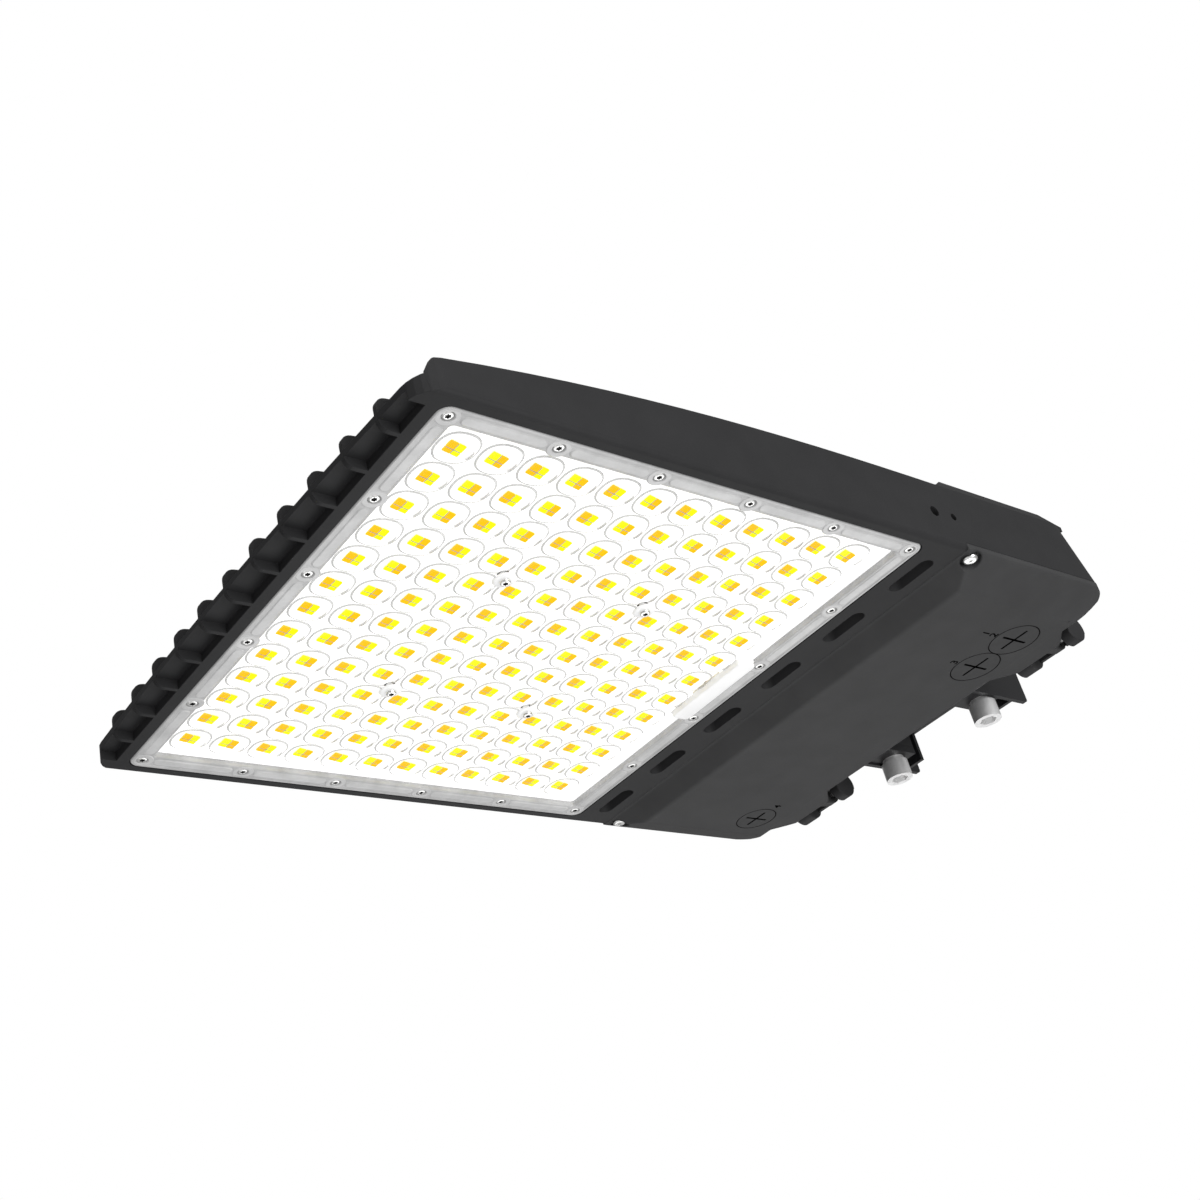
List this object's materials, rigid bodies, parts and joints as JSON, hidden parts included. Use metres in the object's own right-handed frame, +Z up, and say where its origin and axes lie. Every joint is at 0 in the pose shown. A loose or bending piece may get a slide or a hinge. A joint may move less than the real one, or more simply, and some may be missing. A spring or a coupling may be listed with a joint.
{
  "type": "shoebox area light",
  "caption": "Pole-mounted outdoor area light: flat finned head with a domed optic plate over LED boards, a hinged driver bay door with plugs, and a bolted pole bracket.",
  "frame": {"origin": "centre of the two pole bolts, on the rear face of the bracket's back plate", "axes": "+X towards the pole, +Y across the head, +Z up; the light shines along -Z"},
  "size_m": [0.5525, 0.3334, 0.0774],
  "materials": {
    "housing_paint": "dark grey powder coat with a very fine texture",
    "door_paint": "dark grey powder coat with a very fine texture",
    "bracket_paint": "dark grey powder coat",
    "clear_optic": "clear moulded acrylic with a grey translucent rim",
    "gasket_grey": "matt grey silicone",
    "seal_black": "matt black silicone",
    "board_white": "white solder mask",
    "led_phosphor": "orange and yellow phosphor",
    "connector_ivory": "ivory nylon",
    "screw_steel": "bright stainless steel",
    "bolt_steel": "bright zinc plated steel",
    "pin_steel": "plain steel",
    "driver_case": "satin",
    "surge_case": "moulded dark red",
    "selector_green": "green solder mask",
    "dial_orange": "moulded orange",
    "socket_black": "moulded black",
    "plug_plastic": "moulded dark grey, the door's colour",
    "lead_red": "red wire insulation",
    "lead_black": "black wire insulation"
  },
  "bodies": {
    "head": {"main_housing": "housing_paint", "pole_bracket": "bracket_paint", "lens_plate": "clear_optic", "lens_gasket": "gasket_grey", "wire_grommet": "seal_black", "led_board_front": "board_white", "led_board_middle": "board_white", "led_board_rear": "board_white", "led_packages": "led_phosphor", "board_connector": "connector_ivory", "terminal_block": "connector_ivory", "lens_screws": "screw_steel", "driver_screws": "screw_steel", "clamp_bolts": "bolt_steel", "split_washers": "bolt_steel", "hinge_pin_near": "pin_steel", "hinge_pin_far": "pin_steel", "driver": "driver_case", "surge_protector": "surge_case", "selector_module": "selector_green", "sensor_socket": "socket_black", "led_leads": "lead_red", "supply_leads": "lead_black"},
    "door": {"door": "door_paint", "door_gasket": "seal_black"},
    "captive_near": {"captive_screw_near": "screw_steel"},
    "captive_far": {"captive_screw_far": "screw_steel"},
    "power_plug": {"plug_power": "plug_plastic", "seal_power": "seal_black"},
    "distribution_plug": {"plug_distribution": "plug_plastic", "seal_distribution": "seal_black"},
    "sensor_plug": {"plug_sensor": "plug_plastic", "seal_sensor": "seal_black"},
    "power_dial": {"power_dial": "dial_orange"},
    "colour_dial": {"colour_dial": "dial_orange"},
    "distribution_dial": {"distribution_dial": "dial_orange"}
  },
  "joints": [
    {"name": "door_hinge", "type": "hinge", "parent": "head", "child": "door", "pos_m": [-0.0305, 0, -0.0291], "axis": [0, -1, 0], "range_deg": [0, 90]},
    {"name": "captive_near_slide", "type": "slide", "parent": "door", "child": "captive_near", "axis": [0, 0, -1], "range_m": [0, 0.006]},
    {"name": "captive_far_slide", "type": "slide", "parent": "door", "child": "captive_far", "axis": [0, 0, -1], "range_m": [0, 0.006]},
    {"name": "power_plug_slide", "type": "slide", "parent": "door", "child": "power_plug", "axis": [0, 0, -1], "range_m": [0, 0.012]},
    {"name": "distribution_plug_slide", "type": "slide", "parent": "door", "child": "distribution_plug", "axis": [0, 0, -1], "range_m": [0, 0.012]},
    {"name": "sensor_plug_slide", "type": "slide", "parent": "door", "child": "sensor_plug", "axis": [0, 0, -1], "range_m": [0, 0.012]},
    {"name": "power_dial_turn", "type": "hinge", "parent": "head", "child": "power_dial", "pos_m": [-0.085, -0.122, -0.028], "axis": [0, 0, 1], "range_deg": [0, 120]},
    {"name": "colour_dial_turn", "type": "hinge", "parent": "head", "child": "colour_dial", "pos_m": [-0.085, -0.109, -0.028], "axis": [0, 0, 1], "range_deg": [0, 90]},
    {"name": "distribution_dial_turn", "type": "hinge", "parent": "head", "child": "distribution_dial", "pos_m": [-0.085, -0.0841, -0.028], "axis": [0, 0, 1], "range_deg": [0, 90]}
  ]
}
